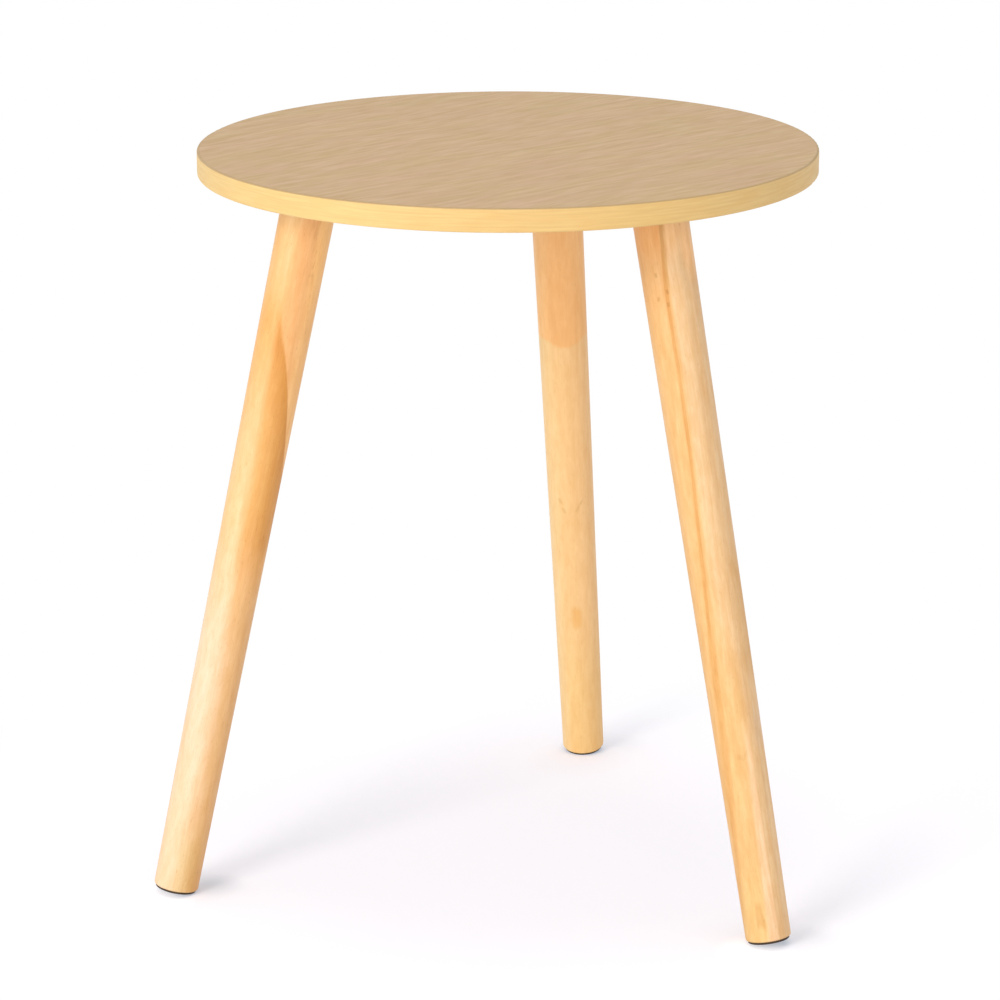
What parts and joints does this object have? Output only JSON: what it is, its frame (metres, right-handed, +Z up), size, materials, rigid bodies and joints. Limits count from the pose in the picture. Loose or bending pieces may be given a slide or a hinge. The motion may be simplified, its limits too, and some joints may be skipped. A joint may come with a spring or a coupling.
{
  "type": "round coffee table",
  "caption": "Small round coffee table: a thin wood-look top with a light edge band, on splayed, tapered, turned wooden legs with dark felt pads.",
  "frame": {"origin": "on the floor, on the vertical axis of the round top", "axes": "+Z up along the axis of the round top; +Y towards the back leg; +X to the right seen from the front"},
  "size_m": [0.4248, 0.443, 0.487],
  "materials": {
    "chipboard": "raw chipboard",
    "wood_look_laminate": "wood-look sheet with fine grain, satin",
    "wood_look_edge": "wood-look edge strip, satin",
    "leg_wood": "light solid wood, clear satin varnish",
    "zinc_steel": "zinc plated",
    "plate_steel": "zinc plated pressed sheet",
    "felt": "dense felt"
  },
  "bodies": {
    "root": {"top_board": "chipboard", "top_laminate": "wood_look_laminate", "underside_laminate": "wood_look_laminate", "edge_band": "wood_look_edge", "leg_back": "leg_wood", "leg_left": "leg_wood", "leg_right": "leg_wood", "hanger_bolt_back": "zinc_steel", "hanger_bolt_left": "zinc_steel", "hanger_bolt_right": "zinc_steel", "foot_pad_back": "felt", "foot_pad_left": "felt", "foot_pad_right": "felt", "leg_plate_back": "plate_steel", "leg_plate_left": "plate_steel", "leg_plate_right": "plate_steel", "plate_nut_back": "zinc_steel", "plate_nut_left": "zinc_steel", "plate_nut_right": "zinc_steel", "plate_screws_back": "zinc_steel", "plate_screws_left": "zinc_steel", "plate_screws_right": "zinc_steel"}
  },
  "joints": []
}
